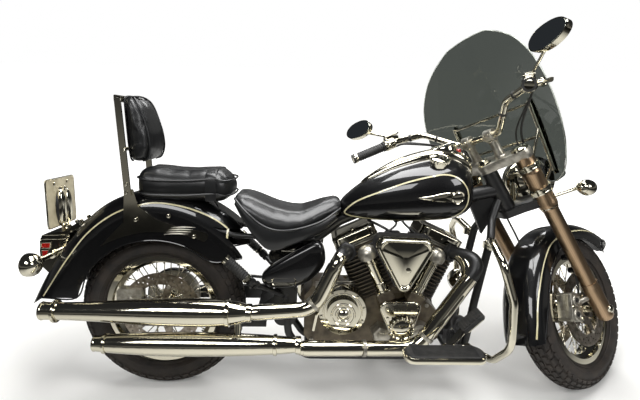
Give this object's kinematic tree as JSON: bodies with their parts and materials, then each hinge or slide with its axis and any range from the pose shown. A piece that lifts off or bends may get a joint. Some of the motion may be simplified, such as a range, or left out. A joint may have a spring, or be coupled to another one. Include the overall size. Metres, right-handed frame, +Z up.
{
  "type": "cruiser motorcycle",
  "caption": "Large air-cooled V-twin cruiser motorcycle with windshield, floorboards, crash bars and backrest, parked on its side stand.",
  "frame": {"origin": "middle of the machine's bounding box, on the floor", "axes": "+X towards the front wheel along the machine's length, +Y to the rider's left, +Z up"},
  "size_m": [2.4573, 0.8677, 1.4114],
  "materials": {
    "black_paint": "gloss black enamel under clear coat",
    "frame_paint": "semi-gloss black powder coat",
    "chrome": "polished chrome plate",
    "engine_silver": "satin warm-grey engine paint",
    "alloy": "polished cast aluminium",
    "steel": "ground steel",
    "tyre": "road tyre rubber",
    "rubber": "moulded black rubber",
    "seat_vinyl": "black grained vinyl with piping",
    "screen": "clear acrylic",
    "lens_red": "red lamp lens",
    "lamp": "chromed shell with a clear glass",
    "plate": "blank plate, satin white",
    "black_plastic": "moulded black plastic"
  },
  "bodies": {
    "chassis": {"frame": "frame_paint", "swingarm": "frame_paint", "rear_axle": "chrome", "drive_belt": "rubber", "crankcase": "engine_silver", "engine_covers": "chrome", "cylinders": "engine_silver", "rocker_covers": "chrome", "pushrod_covers": "engine_silver", "air_cleaner": "chrome", "carburettor": "black_plastic", "exhaust_pipes": "chrome", "mufflers": "chrome", "fuel_tank": "black_paint", "tank_console": "chrome", "filler_cap": "chrome", "rear_fender": "black_paint", "rider_seat": "seat_vinyl", "passenger_seat": "seat_vinyl", "backrest_bar": "chrome", "backrest_pad": "seat_vinyl", "tail_light": "lamp", "licence_plate": "plate", "rear_indicators": "lens_red", "side_covers": "black_paint", "footrest_brackets": "frame_paint", "foot_pedals": "chrome", "crash_bars": "chrome", "rear_caliper": "alloy"},
    "rear_wheel": {"rear_tyre": "tyre", "rear_rim": "chrome", "rear_hub": "chrome", "rear_disc": "steel", "rear_pulley": "alloy"},
    "steering": {"lower_yoke": "frame_paint", "upper_yoke": "chrome", "fork_covers": "chrome", "fork_sliders": "alloy", "front_axle": "chrome", "front_calipers": "alloy", "front_fender": "black_paint", "handlebar": "chrome", "grips": "rubber", "hand_levers": "chrome", "mirrors": "chrome", "windshield": "screen", "windshield_brackets": "chrome", "headlight": "lamp", "front_indicators": "lamp"},
    "front_wheel": {"front_tyre": "tyre", "front_rim": "chrome", "front_hub": "chrome", "front_discs": "steel"},
    "side_stand": {"side_stand": "chrome"},
    "left_footboard": {"left_footboard": "rubber"},
    "right_footboard": {"right_footboard": "rubber"},
    "left_peg": {"left_peg": "rubber"},
    "right_peg": {"right_peg": "rubber"}
  },
  "joints": [
    {"name": "rear_wheel_spin", "type": "hinge", "parent": "chassis", "child": "rear_wheel", "pos_m": [-0.72879, -0.03487, 0.31995], "axis": [-0.0012, 0.9877, -0.1564], "continuous": true},
    {"name": "steering_turn", "type": "hinge", "parent": "chassis", "child": "steering", "pos_m": [0.65221, 0.02736, 0.70194], "axis": [0.5233, -0.1327, -0.8418], "range_deg": [0, 76.6]},
    {"name": "front_wheel_spin", "type": "hinge", "parent": "steering", "child": "front_wheel", "pos_m": [0.94729, -0.00682, 0.29362], "axis": [-0.5291, 0.7237, -0.443], "continuous": true},
    {"name": "side_stand_fold", "type": "hinge", "parent": "chassis", "child": "side_stand", "pos_m": [0.09978, 0.06668, 0.1363], "axis": [0.0042, 0.8448, 0.535], "range_deg": [0, 99]},
    {"name": "left_footboard_fold", "type": "hinge", "parent": "chassis", "child": "left_footboard", "pos_m": [0.30365, 0.2542, 0.2447], "axis": [1, 0, -0.0079], "range_deg": [0, 30]},
    {"name": "right_footboard_fold", "type": "hinge", "parent": "chassis", "child": "right_footboard", "pos_m": [0.30438, -0.33051, 0.33731], "axis": [-1, 0, 0.0079], "range_deg": [0, 30]},
    {"name": "left_peg_fold", "type": "hinge", "parent": "chassis", "child": "left_peg", "pos_m": [-0.35574, 0.1786, 0.45024], "axis": [-0.6956, -0.1132, -0.7095], "range_deg": [0, 90]},
    {"name": "right_peg_fold", "type": "hinge", "parent": "chassis", "child": "right_peg", "pos_m": [-0.35527, -0.19672, 0.50968], "axis": [0.6956, 0.1132, 0.7095], "range_deg": [0, 90]}
  ]
}
